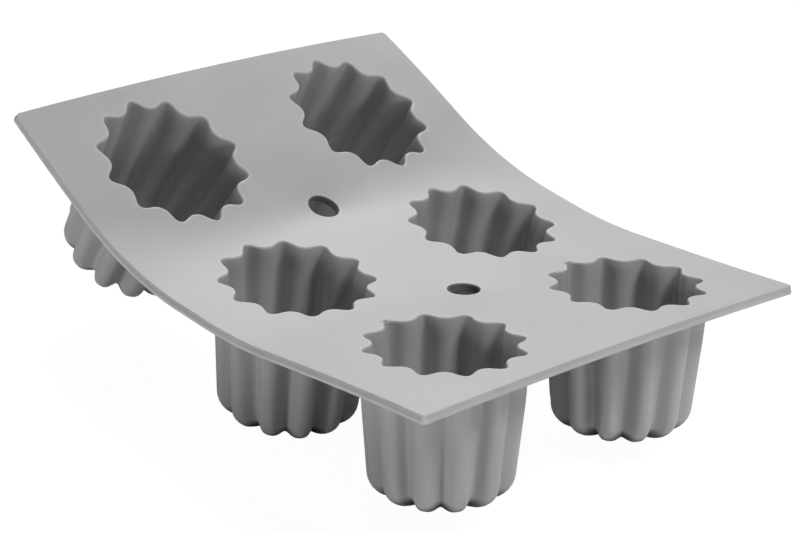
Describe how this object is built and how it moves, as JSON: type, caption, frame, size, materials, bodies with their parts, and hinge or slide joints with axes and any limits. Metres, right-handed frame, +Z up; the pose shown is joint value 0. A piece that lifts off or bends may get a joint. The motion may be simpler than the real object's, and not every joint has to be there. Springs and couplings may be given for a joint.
{
  "type": "silicone canele mould",
  "caption": "Flexible silicone baking mould: a thin sheet with fluted wells hanging under it, flexed upwards at the webs between its rows.",
  "frame": {"origin": "centre of the footprint of the whole mould, on the surface that it stands on", "axes": "+X across the width, +Y from the front row to the rear row, +Z up, square to the middle row's sheet"},
  "size_m": [0.175, 0.2116, 0.0796],
  "materials": {
    "grey_silicone": "matte grey silicone with a soft sheen"
  },
  "bodies": {
    "middle_row": {"middle_row_panel": "grey_silicone", "middle_left_well": "grey_silicone", "middle_right_well": "grey_silicone", "front_web": "grey_silicone", "rear_web": "grey_silicone"},
    "front_row": {"front_row_panel": "grey_silicone", "front_left_well": "grey_silicone", "front_right_well": "grey_silicone"},
    "rear_row": {"rear_row_panel": "grey_silicone", "rear_left_well": "grey_silicone", "rear_right_well": "grey_silicone"}
  },
  "joints": [
    {"name": "front_web_flex", "type": "hinge", "parent": "middle_row", "child": "front_row", "pos_m": [0, -0.03678, 0.0492], "axis": [1, 0, 0], "range_deg": [-29, 21], "stiffness_Nm_per_rad": 0.25, "springref_deg": -5.73, "deforming": ["front_web"]},
    {"name": "rear_web_flex", "type": "hinge", "parent": "middle_row", "child": "rear_row", "pos_m": [0, 0.03333, 0.0492], "axis": [1, 0, 0], "range_deg": [-34.5, 15.5], "stiffness_Nm_per_rad": 0.25, "springref_deg": 5.73, "deforming": ["rear_web"]}
  ]
}
